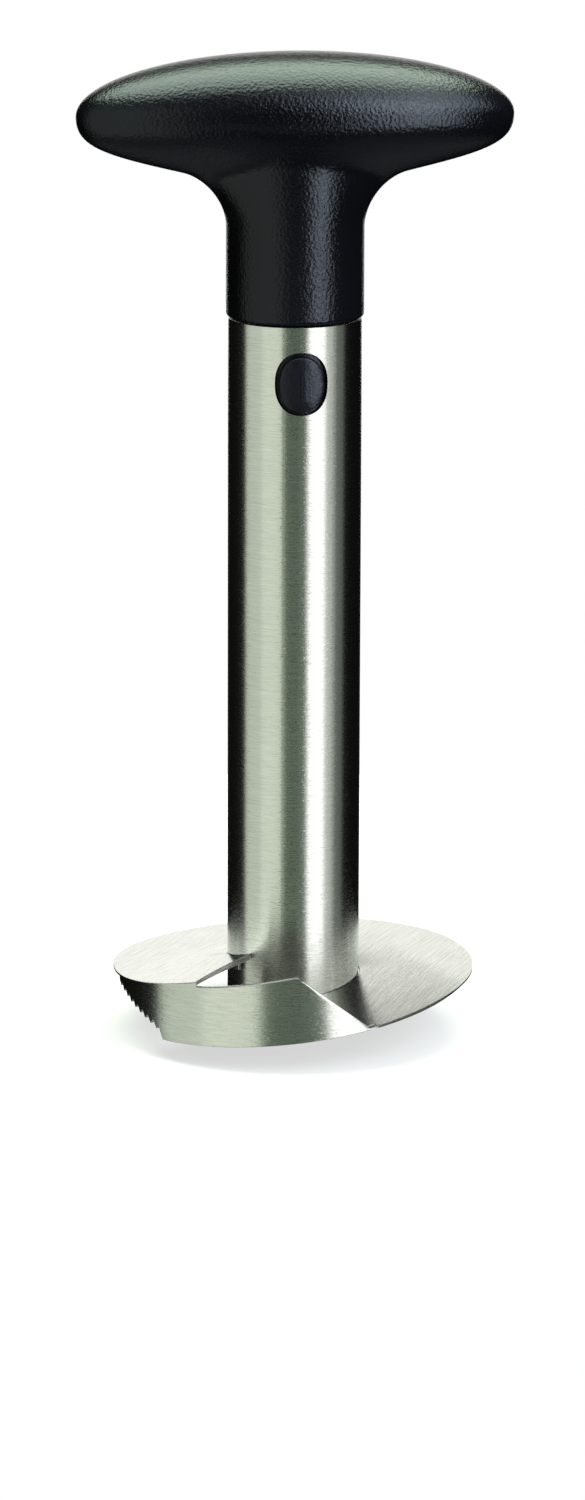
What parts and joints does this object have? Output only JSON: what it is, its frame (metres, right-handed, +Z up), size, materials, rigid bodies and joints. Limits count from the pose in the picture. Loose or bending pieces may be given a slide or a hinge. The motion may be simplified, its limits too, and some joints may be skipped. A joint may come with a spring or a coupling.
{
  "type": "corer and slicer",
  "caption": "Screw-in fruit corer and slicer: steel tube with a slit spiral slicing disc and toothed side blade, sprung release buttons and a lift-off T-handle.",
  "frame": {"origin": "on the tube's axis, at the points of the teeth that the tool stands on", "axes": "+Z up the tube to the handle, X along the bar of the handle, the front button faces -Y"},
  "size_m": [0.1044, 0.0878, 0.2389],
  "materials": {
    "tube_steel": "brushed round the tube",
    "disc_steel": "brushed straight across the sheet",
    "blade_steel": "brushed along the blade",
    "spring_steel": "drawn wire",
    "grip_plastic": "fine grained satin",
    "button_plastic": "satin",
    "plug_plastic": "satin, as moulded"
  },
  "bodies": {
    "cutter": {"core_tube": "tube_steel", "slicing_disc": "disc_steel", "side_blade": "blade_steel", "button_spring": "spring_steel"},
    "handle": {"grip_front_shell": "grip_plastic", "grip_rear_shell": "grip_plastic", "locking_plug": "plug_plastic"},
    "front_button": {"front_button": "button_plastic"},
    "rear_button": {"rear_button": "button_plastic"}
  },
  "joints": [
    {"name": "handle_lift", "type": "slide", "parent": "cutter", "child": "handle", "axis": [0, 0, 1], "range_m": [0, 0.036]},
    {"name": "front_button_press", "type": "slide", "parent": "cutter", "child": "front_button", "axis": [0, 1, 0], "range_m": [0, 0.0025], "stiffness_N_per_m": 600, "springref_m": -0.004, "deforming": ["button_spring"]},
    {"name": "rear_button_press", "type": "slide", "parent": "cutter", "child": "rear_button", "axis": [0, -1, 0], "range_m": [0, 0.0025], "stiffness_N_per_m": 600, "springref_m": -0.004, "deforming": ["button_spring"]}
  ]
}
